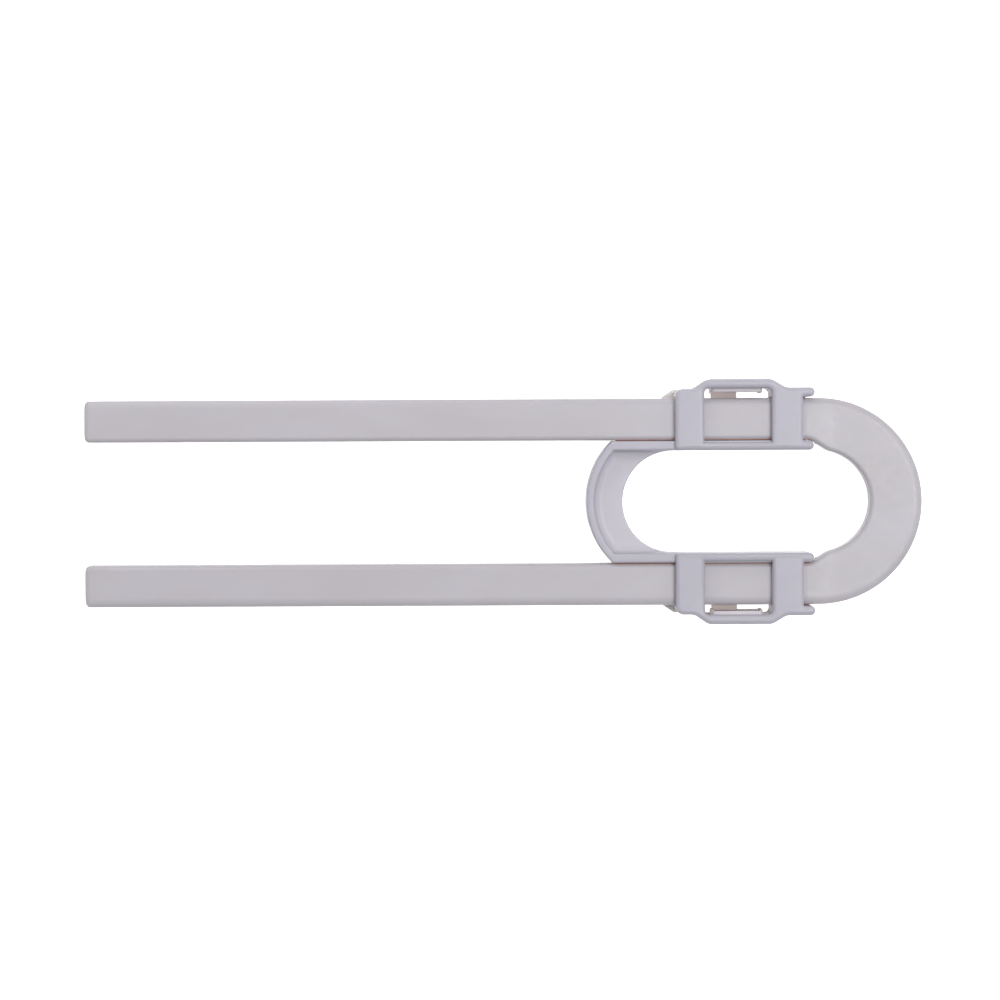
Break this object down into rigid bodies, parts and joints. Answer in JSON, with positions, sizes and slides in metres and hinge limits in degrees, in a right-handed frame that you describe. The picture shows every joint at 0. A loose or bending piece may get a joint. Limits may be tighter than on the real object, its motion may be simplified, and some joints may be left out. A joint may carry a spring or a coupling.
{
  "type": "cabinet safety lock",
  "caption": "U-shaped sliding cabinet lock: a toothed bar threads two handles and a clip with push buttons slides along its arms to hold doors shut.",
  "frame": {"origin": "Middle of the outline seen from the front, on the plane that the back lies on.", "axes": "+X runs along the arms toward the bend, +Y across the arms, +Z from the back toward the front face that the picture shows."},
  "size_m": [0.209, 0.061, 0.015],
  "materials": {
    "bar_plastic": "satin moulded",
    "clip_plastic": "satin moulded",
    "button_plastic": "satin moulded",
    "cover_plastic": "satin moulded",
    "spring_steel": "drawn wire"
  },
  "bodies": {
    "bar": {"u_bar": "bar_plastic"},
    "slider": {"slider_body": "clip_plastic", "upper_back_cover": "cover_plastic", "lower_back_cover": "cover_plastic", "upper_button_spring": "spring_steel", "lower_button_spring": "spring_steel"},
    "upper_button": {"upper_button": "button_plastic"},
    "lower_button": {"lower_button": "button_plastic"}
  },
  "joints": [
    {"name": "slider_slide", "type": "slide", "parent": "bar", "child": "slider", "axis": [1, 0, 0], "range_m": [-0.195, 0]},
    {"name": "upper_button_press", "type": "slide", "parent": "slider", "child": "upper_button", "axis": [0, -1, 0], "range_m": [0, 0.00115], "stiffness_N_per_m": 600, "springref_m": -0.0005, "deforming": ["upper_button_spring"]},
    {"name": "lower_button_press", "type": "slide", "parent": "slider", "child": "lower_button", "axis": [0, 1, 0], "range_m": [0, 0.00115], "stiffness_N_per_m": 600, "springref_m": -0.0005, "deforming": ["lower_button_spring"]}
  ]
}
